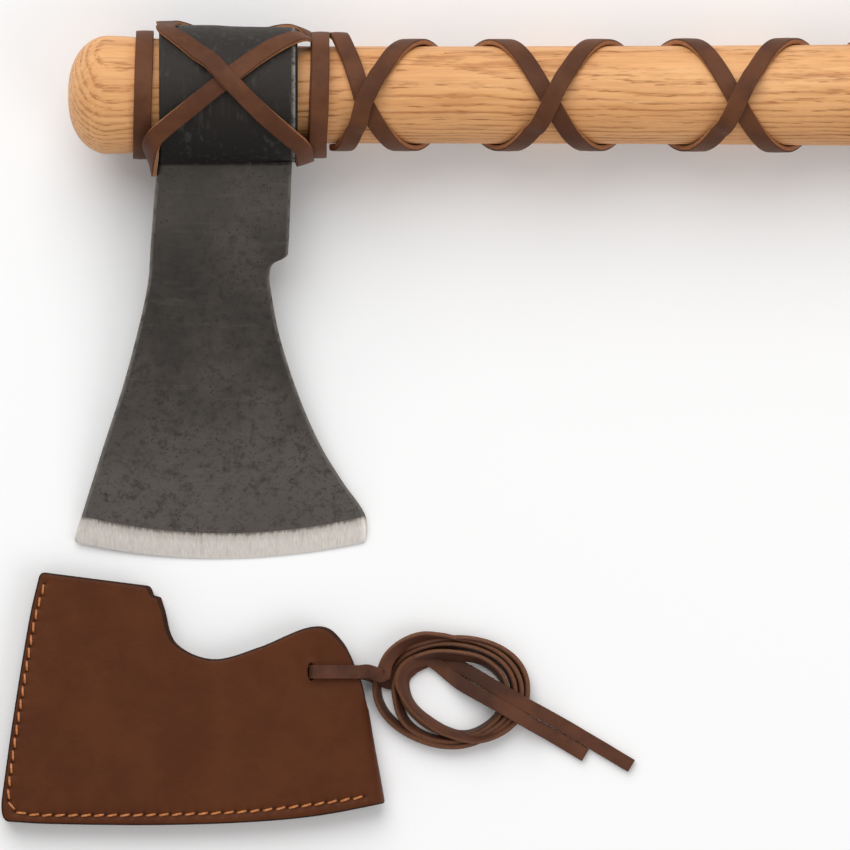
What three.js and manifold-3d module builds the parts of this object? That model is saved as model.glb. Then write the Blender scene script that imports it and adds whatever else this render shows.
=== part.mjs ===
// A forest axe with a slip-fit head lashed to an ash handle, and the leather sheath for its bit.
// Millimetres, +Z up. The axe lies on its side and the sheath lies beside it, both on z = 0.
// In both groups x runs along the handle towards the grip, and y runs away from the bit.
import * as THREE from "three";
import { mergeVertices } from "three/addons/utils/BufferGeometryUtils.js";
import Module from "manifold-3d";

const wasm = await Module();
wasm.setup();

// Gap kept between pieces that touch
const GAP = 0.3;

// Handle, with x = 0 at the middle of the eye
const HANDLE_LENGTH = 650;
const KNOB_TIP = -55.6;
const KNOB_RADIUS = 20.75;
const KNOB_BASE_RADIUS = 20.0;
const NECK_RADIUS = 17.0;
const GRIP_RADIUS = 18.1;
const GRIP_END_FLAT_RADIUS = 13;
const HANDLE_SIDES = 44;

// Eye of the head: a round socket, wider on the knob side
const EYE_LEFT = -23.8;
const EYE_RIGHT = 23.6;
const EYE_OUTER_LEFT = 24.8;
const EYE_OUTER_RIGHT = 23.6;
const EYE_BORE_LEFT = 20.45;
const EYE_BORE_RIGHT = 19.0;
const EYE_CHAMFER = 0.8;

// Blade below the eye
const BLADE_TOP = -22;
const BEVEL_TOP = -149.3;
const EDGE = -159.1;
const BEVEL_BOW = 6.1;
const EDGE_BOW = 5.6;
const EDGE_HALF_THICKNESS = 0.25;
const BLADE_CHAMFER = 0.9;
const FRONT_SIDE = [
  [-23.8, BLADE_TOP], [-25.4, -36], [-26.7, -53], [-28.2, -70], [-35, -98.5],
  [-43.4, -125.3], [-50.8, BEVEL_TOP], [-53.9, EDGE],
];
const NOTCHED_SIDE = [
  [22.8, BLADE_TOP], [21.6, -53.5], [20.5, -57.2], [16.4, -59.4], [15, -63], [15.4, -69],
  [18.6, -86], [25, -106.2], [32.6, -123.9], [40.4, -137], [48.6, BEVEL_TOP], [48.8, EDGE],
];
const HALF_THICKNESS = [
  [7, BLADE_TOP], [5.2, -28], [4.2, -40], [3.5, -60], [2.4, -98], [1.7, BEVEL_TOP],
];

// How the axe lies: rolled until the edge rests on the surface, grip end slightly down
const ROLL = THREE.MathUtils.degToRad(9.7);
const PITCH = THREE.MathUtils.degToRad(0.72);

// Leather lace of the lashing and of the criss-cross wrap
const LACE_WIDTH = 6.2;
const LACE_THICKNESS = 2.4;
const LIFT = LACE_THICKNESS + GAP;
const KNOB_RING_X = -29.2;
const NECK_RING_X = 31.9;
const WRAP_FIRST_CROSSING = 47.6;
const WRAP_PITCH = 65.3;
const WRAP_CROSSINGS = 5;
const WRAP_START_STEEPNESS = 0.5;
const WRAP_START_TURN = -0.27;
const WRAP_LEAN = THREE.MathUtils.degToRad(8);
const WRAP_HUMP_FLAT = 7.4;
const WRAP_HUMP_RAMP = 7;

// Sheath: one piece of leather folded along its right side, with a welt in its seams
const LEATHER = 2.3;
const POCKET = 5.2;
const SHEATH_THICKNESS = 2 * LEATHER + POCKET;
const FOLD_RADIUS = SHEATH_THICKNESS / 2;
const FOLD_TOP = new THREE.Vector2(49.2, -214);
const FOLD_BOTTOM = new THREE.Vector2(55.3, -248.2);
const STITCH_PITCH = 4.6;
const THREAD_WIDTH = 0.9;
const THREAD_THICKNESS = 0.6;
const GROOVE_WIDTH = 2.3;
const GROOVE_DEPTH = 1.0;
const GROOVE_STEPS = 62;
const SEAM = [
  [-64.1, -171], [-67.9, -185.5], [-73.4, -219], [-76.1, -238], [-76.9, -245.5], [-75.9, -249.8],
  [-72.1, -251.8], [-61.6, -252.4], [-27, -252.3], [5.1, -251.2], [30.4, -248.6], [48, -245.9],
];

// Tie lace of the sheath
const TIE_WIDTH = 4.8;
const TIE_THICKNESS = 1.8;
const TIE_Y = -202.1;
const SLIT_X = 29.4;
const TIE_STEPS = 22;
const COIL_CENTRE = new THREE.Vector2(78.75, -208.4);
const COIL_OUTER = new THREE.Vector2(26.9, 20.1);
const COIL_BAND = 0.415;
const COIL_HEIGHT = 6.4;

const ash = { color: 0xdca46e, roughness: 0.5, metalness: 0 };
const forgedSteel = { color: 0x2e2c2a, roughness: 0.6, metalness: 0.8 };
const laceLeather = { color: 0x66402f, roughness: 0.6, metalness: 0 };
const sheathLeather = { color: 0x542e1c, roughness: 0.55, metalness: 0 };
const weltLeather = { color: 0x4a2a1b, roughness: 0.8, metalness: 0 };
const thread = { color: 0xc8823f, roughness: 0.7, metalness: 0 };

// ---- geometry helpers ----

const point = (x, y, z) => new THREE.Vector3(x, y, z);

function signedVolume(positions, index) {
  const corner = (i) => new THREE.Vector3().fromBufferAttribute(positions, index[i]);
  let volume = 0;
  for (let i = 0; i < index.length; i += 3) {
    volume += corner(i).dot(corner(i + 1).cross(corner(i + 2))) / 6;
  }
  return volume;
}

// A closed surface with shared vertices, no empty triangles and its faces outward
function closed(geometry) {
  const bare = geometry.clone();
  bare.deleteAttribute("normal");
  bare.deleteAttribute("uv");
  const merged = mergeVertices(bare, 1e-4);
  const index = [];
  for (let i = 0; i < merged.index.count; i += 3) {
    const [a, b, c] = [0, 1, 2].map((k) => merged.index.getX(i + k));
    if (a !== b && b !== c && c !== a) index.push(a, b, c);
  }
  if (signedVolume(merged.attributes.position, index) < 0) index.reverse();
  merged.setIndex(index);
  return merged;
}

function toSolid(geometry) {
  const shell = closed(geometry);
  return new wasm.Manifold(new wasm.Mesh({
    numProp: 3,
    vertProperties: new Float32Array(shell.attributes.position.array),
    triVerts: Uint32Array.from(shell.index.array),
  }));
}

function toGeometry(solid) {
  const { vertProperties, triVerts } = solid.getMesh();
  const geometry = new THREE.BufferGeometry();
  geometry.setAttribute("position", new THREE.BufferAttribute(new Float32Array(vertProperties), 3));
  geometry.setIndex(Array.from(triVerts));
  return geometry;
}

function addPiece(group, name, geometry, look) {
  const mesh = new THREE.Mesh(geometry, new THREE.MeshStandardMaterial(look));
  mesh.name = name;
  group.add(mesh);
}

// Skin over a row of equal rings. Each ring goes along its upper side and back along its lower
// side, so that a strip of quads between the two sides closes each end.
function loft(rings) {
  const around = rings[0].length;
  const index = [];
  const quad = (a, b, c, d) => index.push(a, b, c, a, c, d);
  for (let row = 0; row + 1 < rings.length; row += 1) {
    const [here, there] = [row * around, (row + 1) * around];
    for (let k = 0; k < around; k += 1) {
      const next = (k + 1) % around;
      quad(here + k, here + next, there + next, there + k);
    }
  }
  const last = (rings.length - 1) * around;
  for (let upper = 0; 2 * upper + 2 < around; upper += 1) {
    const lower = around - 1 - upper;
    quad(upper, lower, lower - 1, upper + 1);
    quad(last + upper, last + upper + 1, last + lower - 1, last + lower);
  }
  const geometry = new THREE.BufferGeometry().setFromPoints(rings.flat());
  geometry.setIndex(index);
  return closed(geometry);
}

// Flat strap along a route of { at, out }: at is the middle of its inner face, out its normal
function strap(route, width, thickness) {
  const rings = route.map(({ at, out }, i) => {
    const before = route[Math.max(i - 1, 0)].at;
    const after = route[Math.min(i + 1, route.length - 1)].at;
    const side = after.clone().sub(before).cross(out).normalize().multiplyScalar(width / 2);
    const top = at.clone().addScaledVector(out, thickness);
    return [top.clone().add(side), top.clone().sub(side), at.clone().sub(side), at.clone().add(side)];
  });
  return loft(rings);
}

// Turned solid about the handle's axis from [x, radius] pairs
function turned(profile, sides = HANDLE_SIDES) {
  const points = profile.map(([x, radius]) => new THREE.Vector2(radius, x));
  return new THREE.LatheGeometry(points, sides).rotateZ(-Math.PI / 2);
}

function prism(shape, low, high) {
  const geometry = new THREE.ExtrudeGeometry(shape, {
    depth: high - low, bevelEnabled: false, curveSegments: 10,
  });
  return toSolid(geometry.translate(0, 0, low));
}

// Smooth curve through [x, y] pairs, as y to x
function sideCurve(pairs) {
  const samples = new THREE.SplineCurve(pairs.map(([x, y]) => new THREE.Vector2(x, y)))
    .getPoints(12 * pairs.length);
  return (y) => {
    const below = samples.findIndex((sample) => sample.y <= y + 1e-9);
    if (below <= 0) return samples[Math.max(below, 0)].x;
    const [a, b] = [samples[below - 1], samples[below]];
    return THREE.MathUtils.lerp(a.x, b.x, (a.y - y) / (a.y - b.y));
  };
}

// ---- handle ----

// Radius of the handle behind the eye: it thickens slowly towards the grip
function handleRadius(x) {
  const t = THREE.MathUtils.smoothstep(x, 90, 330);
  return THREE.MathUtils.lerp(NECK_RADIUS, GRIP_RADIUS, t);
}

function buildHandle() {
  const gripEnd = KNOB_TIP + HANDLE_LENGTH;
  const profile = [];
  const domeLength = 13.5;
  for (let i = 0; i <= 7; i += 1) {
    const angle = (i / 7) * (Math.PI / 2);
    const radius = KNOB_RADIUS * Math.sin(angle) ** 0.82;
    profile.push([KNOB_TIP + domeLength * (1 - Math.cos(angle) ** 1.1), radius]);
  }
  profile.push([-36, 20.6], [KNOB_RING_X, KNOB_BASE_RADIUS], [EYE_LEFT, 19.7]);
  profile.push([0, 18.4], [EYE_RIGHT, NECK_RADIUS + 0.1], [NECK_RING_X, NECK_RADIUS]);
  for (let x = 80; x <= 400; x += 80) profile.push([x, handleRadius(x)]);
  profile.push([gripEnd - 60, GRIP_RADIUS]);
  const endRound = GRIP_RADIUS - GRIP_END_FLAT_RADIUS;
  for (let i = 0; i <= 3; i += 1) {
    const angle = (i / 3) * (Math.PI / 2);
    const radius = GRIP_END_FLAT_RADIUS + endRound * Math.cos(angle);
    profile.push([gripEnd - endRound * (1 - Math.sin(angle)), radius]);
  }
  profile.push([gripEnd, 0]);
  return closed(turned(profile));
}

// ---- head ----

function buildEye() {
  const c = EYE_CHAMFER;
  return turned([
    [EYE_LEFT, EYE_BORE_LEFT + c], [EYE_LEFT, EYE_OUTER_LEFT - c],
    [EYE_LEFT + c, EYE_OUTER_LEFT], [EYE_RIGHT - c, EYE_OUTER_RIGHT],
    [EYE_RIGHT, EYE_OUTER_RIGHT - c], [EYE_RIGHT, EYE_BORE_RIGHT + c],
    [EYE_RIGHT - c, EYE_BORE_RIGHT], [EYE_LEFT + c, EYE_BORE_LEFT],
    [EYE_LEFT, EYE_BORE_LEFT + c],
  ], 52);
}

// Rows across the blade, straight at the neck and bowed to the arc of the edge further down
function buildBlade() {
  const frontSide = sideCurve(FRONT_SIDE);
  const notchedSide = sideCurve(NOTCHED_SIDE);
  const halfThickness = sideCurve(HALF_THICKNESS);
  const columns = 8;
  const row = (y, half, bow, chamfer) => {
    const [left, right] = [frontSide(y), notchedSide(y)];
    const across = [[left, half - chamfer]];
    for (let i = 0; i <= columns; i += 1) {
      across.push([THREE.MathUtils.lerp(left + chamfer, right - chamfer, i / columns), half]);
    }
    across.push([right, half - chamfer]);
    const bowed = across.map(([x, z]) => {
      const u = (x - left) / (right - left);
      return point(x, y - bow * 4 * u * (1 - u), z);
    });
    const under = bowed.map((p) => point(p.x, p.y, -p.z)).reverse();
    return [...bowed, ...under];
  };
  const heights = [BLADE_TOP, -25, -28, -34, -44, -52.5, -55.5, -57.2, -58.3, -59.3, -60.6];
  heights.push(-63, -68);
  for (let y = -76; y > BEVEL_TOP + 4; y -= 9) heights.push(y);
  heights.push(BEVEL_TOP);
  const rings = heights.map((y) => {
    const bow = BEVEL_BOW * THREE.MathUtils.smoothstep(-y, 90, -BEVEL_TOP);
    return row(y, halfThickness(y), bow, BLADE_CHAMFER);
  });
  rings.push(row(EDGE, EDGE_HALF_THICKNESS, EDGE_BOW, EDGE_HALF_THICKNESS / 2));
  return loft(rings);
}

function buildHead() {
  return toGeometry(toSolid(buildEye()).add(toSolid(buildBlade())));
}

// ---- lashing and wrap ----

// Route on a round surface; angle 0 faces straight up when the axe lies rolled by ROLL
function onHandle(x, radius, angle) {
  const turn = angle + ROLL;
  const out = point(0, Math.sin(turn), Math.cos(turn));
  return { at: point(x, radius * out.y, radius * out.z), out };
}

// Height 0 to 1 over a crossing, by the distance along the strap
const hump = (distance, flat, ramp) => (
  1 - THREE.MathUtils.smoothstep(Math.abs(distance), flat, flat + ramp)
);

function ring(x, radius, layer) {
  const inner = radius + GAP + layer * LIFT;
  const outer = inner + LACE_THICKNESS;
  const half = LACE_WIDTH / 2;
  return closed(turned([
    [x - half, inner], [x - half, outer], [x + half, outer], [x + half, inner], [x - half, inner],
  ]));
}

// Inner radius of a strand that runs from ring to ring over the eye
function eyeStrandRadius(x) {
  const overKnobRing = KNOB_BASE_RADIUS + LIFT + 0.5;
  const overEye = THREE.MathUtils.mapLinear(x, EYE_LEFT, EYE_RIGHT, EYE_OUTER_LEFT, EYE_OUTER_RIGHT);
  const overNeckRing = NECK_RADIUS + 2 * LIFT + GAP;
  const climb = THREE.MathUtils.smoothstep(x, -31.5, -28);
  const descent = THREE.MathUtils.smoothstep(x, 27.6, 31);
  const onEye = THREE.MathUtils.lerp(overKnobRing, overEye + GAP + 0.1, climb);
  return THREE.MathUtils.lerp(onEye, overNeckRing, descent);
}

// Strand over one cheek of the eye through [x, degrees] stops. The back cheek mirrors the front
// one through the plane of the blade.
function eyeStrand(stops, onFront, isOver) {
  const path = new THREE.SplineCurve(stops.map(([x, angle]) => new THREE.Vector2(x, angle)));
  const route = path.getPoints(28).map(({ x, y: degrees }) => {
    const lift = isOver ? LIFT * hump(x - stops[2][0], 4.2, 6) : 0;
    const seen = THREE.MathUtils.degToRad(degrees);
    const angle = onFront ? seen : Math.PI - seen - 2 * ROLL;
    return onHandle(x, eyeStrandRadius(x) + lift, angle);
  });
  return strap(route, LACE_WIDTH, LACE_THICKNESS);
}

const FALLING_STOPS = [[-25.4, 72], [-22.5, 62], [-0.3, 12], [22, -37], [27.6, -47]];
const RISING_STOPS = [[-26.5, -42], [-24.7, -32], [-0.3, 12], [20.9, 50], [30, 65]];

// One of the two strands that spiral down the handle. The first quarter turn is steeper, and
// the crossings lean a little towards the bit.
function wrapStrand(hand) {
  const turns = WRAP_CROSSINGS - 1 + 0.5;
  const crossingLength = 2 * Math.PI * (NECK_RADIUS + LIFT);
  const steps = 24 * WRAP_CROSSINGS;
  const route = [];
  for (let i = 0; i <= steps; i += 1) {
    const turn = THREE.MathUtils.lerp(WRAP_START_TURN, turns - 0.085, i / steps);
    const pace = turn < 0 ? WRAP_START_STEEPNESS : 1;
    const x = WRAP_FIRST_CROSSING + WRAP_PITCH * pace * turn;
    const toCrossing = (turn - Math.round(2 * turn) / 2) * crossingLength;
    const lift = hand > 0 ? (LIFT + 0.15) * hump(toCrossing, WRAP_HUMP_FLAT, WRAP_HUMP_RAMP) : 0;
    const radius = Math.max(handleRadius(x), NECK_RADIUS + 0.1) + GAP + 0.1 + lift;
    route.push(onHandle(x, radius, hand * turn * 2 * Math.PI - WRAP_LEAN));
  }
  return strap(route, LACE_WIDTH, LACE_THICKNESS);
}

function buildAxe() {
  const axe = new THREE.Group();
  const lastRingX = WRAP_FIRST_CROSSING + WRAP_PITCH * (WRAP_CROSSINGS - 0.5) + 1;
  addPiece(axe, "handle", buildHandle(), ash);
  addPiece(axe, "axe_head", buildHead(), forgedSteel);
  addPiece(axe, "lash_ring_knob", ring(KNOB_RING_X, KNOB_BASE_RADIUS, 0), laceLeather);
  addPiece(axe, "lash_ring_neck_inner", ring(NECK_RING_X, NECK_RADIUS, 0), laceLeather);
  addPiece(axe, "lash_ring_neck_outer", ring(NECK_RING_X, NECK_RADIUS, 1), laceLeather);
  for (const [cheek, onFront] of [["front", true], ["back", false]]) {
    addPiece(axe, `lash_${cheek}_over`, eyeStrand(FALLING_STOPS, onFront, true), laceLeather);
    addPiece(axe, `lash_${cheek}_under`, eyeStrand(RISING_STOPS, onFront, false), laceLeather);
  }
  addPiece(axe, "wrap_strand_over", wrapStrand(1), laceLeather);
  addPiece(axe, "wrap_strand_under", wrapStrand(-1), laceLeather);
  addPiece(axe, "wrap_end_ring", ring(lastRingX, handleRadius(lastRingX), 0), laceLeather);
  axe.rotation.set(ROLL, PITCH, 0, "YXZ");
  return axe;
}

// ---- sheath ----

const flat = (pairs) => pairs.map(([x, y]) => new THREE.Vector2(x, y));

// Outline of each leather layer: mouth with its throat curve, fold on the right, seams below
// and on the left
function sheathOutline() {
  const shape = new THREE.Shape();
  shape.moveTo(-64, -167.3);
  shape.lineTo(-28, -171.9);
  shape.quadraticCurveTo(-26.5, -172.1, -25.9, -175.3);
  shape.lineTo(-23.3, -176);
  shape.splineThru(flat([
    [-21.9, -180.6], [-17.9, -192.2], [-4.9, -197.7], [11.9, -193.3], [31.1, -186.2],
    [40.2, -191.3], [46.9, -205],
  ]));
  shape.lineTo(FOLD_TOP.x, FOLD_TOP.y);
  shape.lineTo(FOLD_BOTTOM.x, FOLD_BOTTOM.y);
  shape.splineThru(flat([[31.2, -252.7], [5.3, -255], [-27, -255.9], [-61.6, -255.5], [-76.6, -254.7]]));
  shape.quadraticCurveTo(-79.9, -254.5, -79.2, -246.7);
  shape.splineThru(flat([[-75.3, -218.8], [-69.7, -184.5], [-66.2, -169]]));
  shape.quadraticCurveTo(-65.7, -167.1, -64, -167.3);
  return shape;
}

// Everything to the right of the fold's axis, between its two ends
function beyondFold(inset) {
  const along = FOLD_BOTTOM.clone().sub(FOLD_TOP).normalize();
  const inward = new THREE.Vector2(along.y, -along.x);
  const top = FOLD_TOP.clone().addScaledVector(inward, FOLD_RADIUS + inset);
  const bottom = FOLD_BOTTOM.clone().addScaledVector(inward, FOLD_RADIUS + inset);
  bottom.addScaledVector(along, 3);
  const past = -20;
  return new THREE.Shape([
    top, top.clone().addScaledVector(inward, past),
    bottom.clone().addScaledVector(inward, past), bottom,
  ]);
}

function buildFold() {
  const half = new THREE.Shape();
  half.absarc(0, 0, FOLD_RADIUS, -Math.PI / 2, Math.PI / 2, false);
  half.absarc(0, 0, FOLD_RADIUS - LEATHER, Math.PI / 2, -Math.PI / 2, true);
  const length = FOLD_TOP.distanceTo(FOLD_BOTTOM);
  const geometry = new THREE.ExtrudeGeometry(half, {
    depth: length, bevelEnabled: false, curveSegments: 10,
  });
  const along = FOLD_TOP.clone().sub(FOLD_BOTTOM).normalize();
  geometry.rotateX(-Math.PI / 2);
  geometry.rotateZ(Math.atan2(along.y, along.x) - Math.PI / 2);
  const axisStart = FOLD_BOTTOM.clone().addScaledVector(new THREE.Vector2(-along.y, along.x), FOLD_RADIUS);
  geometry.translate(axisStart.x, axisStart.y, FOLD_RADIUS);
  return toSolid(geometry);
}

// Route of the seam at height z, with faces along the given side
function seamRoute(steps, heightAt, outZ) {
  const curve = new THREE.SplineCurve(flat(SEAM));
  const route = [];
  for (let i = 0; i <= steps; i += 1) {
    const p = curve.getPointAt(i / steps);
    route.push({ at: point(p.x, p.y, heightAt(i)), out: point(0, 0, outZ) });
  }
  return route;
}

const STITCHES = Math.round(new THREE.SplineCurve(flat(SEAM)).getLength() / STITCH_PITCH);

function groove(surface, outZ) {
  const bottom = surface - outZ * GROOVE_DEPTH;
  const route = seamRoute(GROOVE_STEPS, () => bottom, outZ);
  return toSolid(strap(route, GROOVE_WIDTH, 2 * GROOVE_DEPTH));
}

// Thread in its groove: down at each hole, and up by the given height in mid stitch
function threadRow(surface, outZ, proud) {
  const sunk = surface - outZ * (GROOVE_DEPTH - GAP);
  const raised = surface + outZ * (proud - THREAD_THICKNESS);
  const heightAt = (i) => (i % 2 ? raised : sunk);
  const route = seamRoute(2 * STITCHES, heightAt, outZ);
  return strap(route.slice(1, -1), THREAD_WIDTH, THREAD_THICKNESS);
}

function slit() {
  const half = TIE_THICKNESS / 2 + GAP + 0.1;
  const long = TIE_WIDTH / 2 + GAP + 0.1;
  const shape = new THREE.Shape([
    new THREE.Vector2(SLIT_X - half, TIE_Y - long), new THREE.Vector2(SLIT_X + half, TIE_Y - long),
    new THREE.Vector2(SLIT_X + half, TIE_Y + long), new THREE.Vector2(SLIT_X - half, TIE_Y + long),
  ]);
  return prism(shape, SHEATH_THICKNESS - LEATHER - 1, SHEATH_THICKNESS + 1);
}

function buildLeather() {
  const outline = sheathOutline();
  const back = prism(outline, 0, LEATHER);
  const front = prism(outline, SHEATH_THICKNESS - LEATHER, SHEATH_THICKNESS);
  const layers = back.add(front).subtract(prism(beyondFold(0), -1, SHEATH_THICKNESS + 1));
  return toGeometry(layers.add(buildFold())
    .subtract(groove(SHEATH_THICKNESS, 1))
    .subtract(groove(0, -1))
    .subtract(slit()));
}

// Strip between the layers, along the left and lower seams
function buildWelt() {
  const strip = prism(sheathOutline(), LEATHER + GAP, SHEATH_THICKNESS - LEATHER - GAP);
  const pocket = new THREE.Shape();
  pocket.moveTo(-56, -150);
  pocket.lineTo(-58.5, -175);
  pocket.splineThru(flat([[-61.6, -187], [-67, -219], [-70.3, -242]]));
  pocket.quadraticCurveTo(-70.6, -246.6, -64, -247.2);
  pocket.splineThru(flat([[-27, -247.6], [5, -246.8], [30, -244.6], [70, -237]]));
  pocket.lineTo(70, -150);
  return toGeometry(strip
    .subtract(prism(pocket, 0, SHEATH_THICKNESS))
    .subtract(prism(beyondFold(GAP), 0, SHEATH_THICKNESS)));
}

// ---- tie lace ----

// Strap along points that all lie over one another in y, turned to face away from the sheath
function tieRoute(centres) {
  const curve = new THREE.CatmullRomCurve3(centres.map(([x, z]) => point(x, TIE_Y, z)));
  const acrossY = point(0, 1, 0);
  return curve.getPoints(TIE_STEPS).map((at, i) => {
    const out = curve.getTangent(i / TIE_STEPS).cross(acrossY).negate();
    return { at: at.addScaledVector(out, -TIE_THICKNESS / 2), out };
  });
}

function tail(waypoints) {
  const curve = new THREE.CatmullRomCurve3(waypoints.map(([x, y, z]) => point(x, y, z)));
  const route = curve.getSpacedPoints(18).map((at) => ({ at, out: point(0, 0, 1) }));
  return strap(route, TIE_WIDTH, TIE_THICKNESS);
}

function buildCoil() {
  const inner = 1 - COIL_BAND;
  const round = 0.07;
  const profile = [
    [inner, 0.15], [inner + round, 0], [1 - round, 0], [1, 0.15], [1, 0.85], [1 - round, 1],
    [inner + round, 1], [inner, 0.85], [inner, 0.15],
  ].map(([radius, height]) => new THREE.Vector2(radius, height));
  const geometry = new THREE.LatheGeometry(profile, 30).rotateX(Math.PI / 2);
  geometry.scale(COIL_OUTER.x, COIL_OUTER.y, COIL_HEIGHT);
  return closed(geometry.translate(COIL_CENTRE.x, COIL_CENTRE.y, 0));
}

function buildSheath() {
  const sheath = new THREE.Group();
  const top = SHEATH_THICKNESS;
  addPiece(sheath, "sheath_leather", buildLeather(), sheathLeather);
  addPiece(sheath, "sheath_welt", buildWelt(), weltLeather);
  addPiece(sheath, "sheath_thread_front", threadRow(top, 1, 0.3), thread);
  addPiece(sheath, "sheath_thread_back", threadRow(0, -1, -0.05), thread);
  return sheath;
}

function buildTie() {
  const tie = new THREE.Group();
  const top = SHEATH_THICKNESS + GAP + TIE_THICKNESS / 2;
  const front = tieRoute([
    [SLIT_X, LEATHER + 3.6], [SLIT_X, top - 2.4], [SLIT_X, top - 1.1], [SLIT_X + 0.4, top - 0.3],
    [SLIT_X + 1.3, top + 0.1], [SLIT_X + 4, top + 0.1], [46.4, top + 0.1], [48.7, top - 0.9],
    [50.2, top - 3.6], [51, top - 6.4],
  ]);
  const back = tieRoute([
    [SLIT_X - 0.6, LEATHER + 1.5], [36, LEATHER + 1.4], [44, LEATHER + 1.4], [48.4, 2.6],
    [50.2, 1.5], [51.7, 1.3],
  ]);
  const over = COIL_HEIGHT + GAP + 0.2;
  addPiece(tie, "tie_lace_front", strap(front, TIE_WIDTH, TIE_THICKNESS), laceLeather);
  addPiece(tie, "tie_lace_back", strap(back, TIE_WIDTH, TIE_THICKNESS), laceLeather);
  addPiece(tie, "tie_lace_coil", buildCoil(), laceLeather);
  addPiece(tie, "tie_lace_tail_short", tail([
    [74.6, -202.4, 0.6], [83, -207.3, 3.4], [91, -211.8, over], [98.5, -216.1, over + 0.1],
    [105, -219.9, over - 0.6], [113, -224.6, 1.4], [119, -228.2, 0.4], [125.6, -232.2, 0.3],
  ]), laceLeather);
  addPiece(tie, "tie_lace_tail_long", tail([
    [83.2, -201.3, 0.6], [89, -204.6, 3.6], [94.6, -207.9, over], [102, -212.2, over + 0.1],
    [108.6, -215.8, over - 0.6], [116.6, -220.3, 1.4], [126, -225.8, 0.3], [141.8, -235.2, 0.3],
  ]), laceLeather);
  return tie;
}

// ---- assembly ----

const axe = buildAxe();
const sheath = buildSheath();
const tie = buildTie();

// The axe rests on the surface, and the middle of the axe and sheath is the origin
axe.updateMatrixWorld(true);
axe.position.z = -new THREE.Box3().setFromObject(axe, true).min.z;
const product = new THREE.Group();
product.add(axe, sheath);
product.updateMatrixWorld(true);
const middle = new THREE.Box3().setFromObject(product, true).getCenter(new THREE.Vector3());
const model = new THREE.Group();
model.add(product, tie);
product.position.set(-middle.x, -middle.y, 0);
tie.position.set(-middle.x, -middle.y, 0);

export default model;
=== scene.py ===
"""Forest axe with a lashed head and its leather sheath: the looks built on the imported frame.

Lengths in the modelling code are millimetres in one of two local frames, and MM turns them into
metres. In the axe's frame x runs along the handle from the middle of the eye towards the grip,
y runs away from the bit and z out of the upper cheek. The laid frame has the same x and y
directions but lies level on the surface.
"""

import math

import bmesh
import bpy
import numpy as np
from mathutils import Matrix, Vector, noise
from mathutils.geometry import delaunay_2d_cdt


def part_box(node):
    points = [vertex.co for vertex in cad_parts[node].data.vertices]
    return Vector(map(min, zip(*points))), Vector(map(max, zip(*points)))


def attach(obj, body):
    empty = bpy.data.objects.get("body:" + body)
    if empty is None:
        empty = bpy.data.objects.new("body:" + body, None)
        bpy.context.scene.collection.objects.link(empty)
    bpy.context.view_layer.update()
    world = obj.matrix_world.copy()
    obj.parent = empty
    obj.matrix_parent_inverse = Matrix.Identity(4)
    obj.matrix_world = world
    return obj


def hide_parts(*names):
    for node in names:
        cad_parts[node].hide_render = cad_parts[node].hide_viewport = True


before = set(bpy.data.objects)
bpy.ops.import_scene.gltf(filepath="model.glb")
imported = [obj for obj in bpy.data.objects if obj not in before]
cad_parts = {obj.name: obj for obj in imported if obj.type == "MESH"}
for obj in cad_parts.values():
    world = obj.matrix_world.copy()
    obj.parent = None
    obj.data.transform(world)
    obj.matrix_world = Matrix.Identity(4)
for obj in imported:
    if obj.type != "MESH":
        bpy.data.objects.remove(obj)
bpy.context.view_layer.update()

MM = 0.001
SEED = 11
# noise_vector would otherwise take its offsets from the clock
noise.seed_set(SEED)

# ---- places taken from the frame ----

ROLL = math.radians(9.7)
PITCH = math.radians(0.72)
NECK_RING_X = 31.9
KNOB_RING_X = -29.2
RING_LOW, RING_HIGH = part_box("lash_ring_neck_inner")
AXIS = Vector((math.cos(PITCH), 0, -math.sin(PITCH)))
EYE = (RING_LOW + RING_HIGH) / 2 - AXIS * NECK_RING_X * MM
AXE = (Matrix.Translation(EYE) @ Matrix.Rotation(PITCH, 4, "Y")
       @ Matrix.Rotation(ROLL, 4, "X"))
LAID = Matrix.Translation((EYE.x, EYE.y, 0))

# ---- camera: straight down on the head, as far along the handle as the view reaches ----

VIEW_WIDTH = 297.5
VIEW_CENTRE = Vector((69.3, -115.5))
LENS = 1000
SENSOR = 36


def make_camera():
    data = bpy.data.cameras.new("camera")
    data.lens = LENS
    data.sensor_width = SENSOR
    data.clip_end = 100
    camera = bpy.data.objects.new("camera", data)
    distance = LENS / SENSOR * VIEW_WIDTH * MM
    aim = LAID @ Vector((VIEW_CENTRE.x * MM, VIEW_CENTRE.y * MM, EYE.z))
    camera.location = aim + Vector((0, 0, distance))
    bpy.context.scene.collection.objects.link(camera)
    bpy.context.scene.camera = camera


make_camera()

# ---- mesh helpers ----


def mesh_object(name, vertices, faces, materials):
    """A smooth mesh from points in millimetres in one of the two local frames."""
    mesh = bpy.data.meshes.new(name)
    mesh.from_pydata([Vector(v) * MM for v in vertices], [], faces)
    for material in materials:
        mesh.materials.append(material)
    mesh.polygons.foreach_set("use_smooth", [True] * len(mesh.polygons))
    bm = bmesh.new()
    bm.from_mesh(mesh)
    bmesh.ops.recalc_face_normals(bm, faces=bm.faces)
    bm.to_mesh(mesh)
    bm.free()
    obj = bpy.data.objects.new(name, mesh)
    bpy.context.scene.collection.objects.link(obj)
    return obj


def piece(obj, place, body, slot, *nodes):
    """Sets a finished mesh down in its place, resting on the surface, hangs it on its body and hides
    the parts it stands for.
    """
    obj.data.transform(place)
    for vertex in obj.data.vertices:
        vertex.co.z = max(vertex.co.z, 0)
    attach(obj, body)
    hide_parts(*nodes)


def float_attribute(obj, name, values):
    layer = obj.data.attributes.new(name, "FLOAT", "POINT")
    layer.data.foreach_set("value", np.asarray(values, np.float32))


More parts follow.
